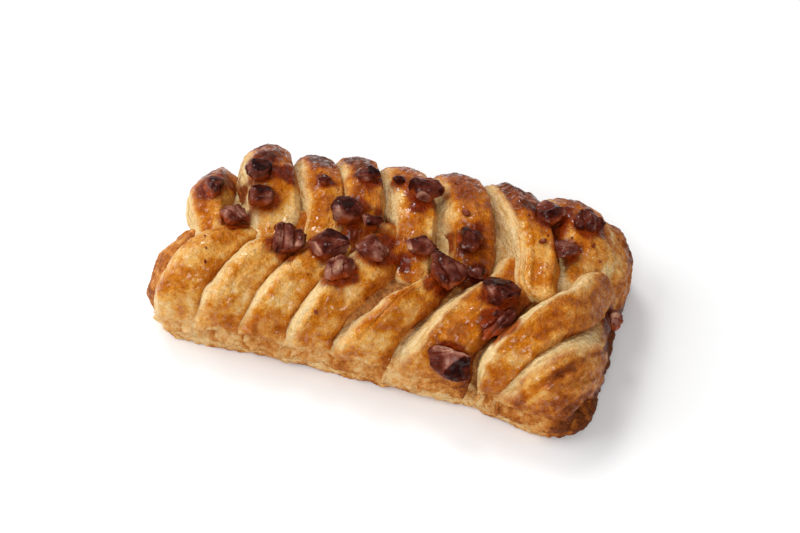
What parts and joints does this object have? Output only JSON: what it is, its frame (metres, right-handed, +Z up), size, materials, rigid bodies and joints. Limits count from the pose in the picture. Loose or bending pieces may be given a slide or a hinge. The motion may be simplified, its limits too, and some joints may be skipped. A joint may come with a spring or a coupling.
{
  "type": "danish pastry",
  "caption": "Baked pecan plait: a laminated dough loaf with side strips folded over in a chevron, glazed, with chopped pecans on top.",
  "frame": {"origin": "middle of the underside that rests on the tray", "axes": "+X along the loaf, the way the strips lean, +Y across it, +Z up"},
  "size_m": [0.1438, 0.0768, 0.036],
  "materials": {
    "dough": "baked golden crust with an egg glaze",
    "pecan": "roasted nut under sugar glaze"
  },
  "bodies": {
    "root": {"pastry": "dough", "pecan_01": "pecan", "pecan_02": "pecan", "pecan_03": "pecan", "pecan_04": "pecan", "pecan_05": "pecan", "pecan_06": "pecan", "pecan_07": "pecan", "pecan_08": "pecan", "pecan_09": "pecan", "pecan_10": "pecan", "pecan_11": "pecan", "pecan_12": "pecan", "pecan_13": "pecan", "pecan_14": "pecan", "pecan_15": "pecan", "pecan_16": "pecan", "pecan_17": "pecan", "pecan_18": "pecan", "pecan_19": "pecan", "pecan_20": "pecan", "pecan_21": "pecan", "pecan_22": "pecan", "pecan_23": "pecan", "pecan_24": "pecan", "pecan_25": "pecan"}
  },
  "joints": []
}
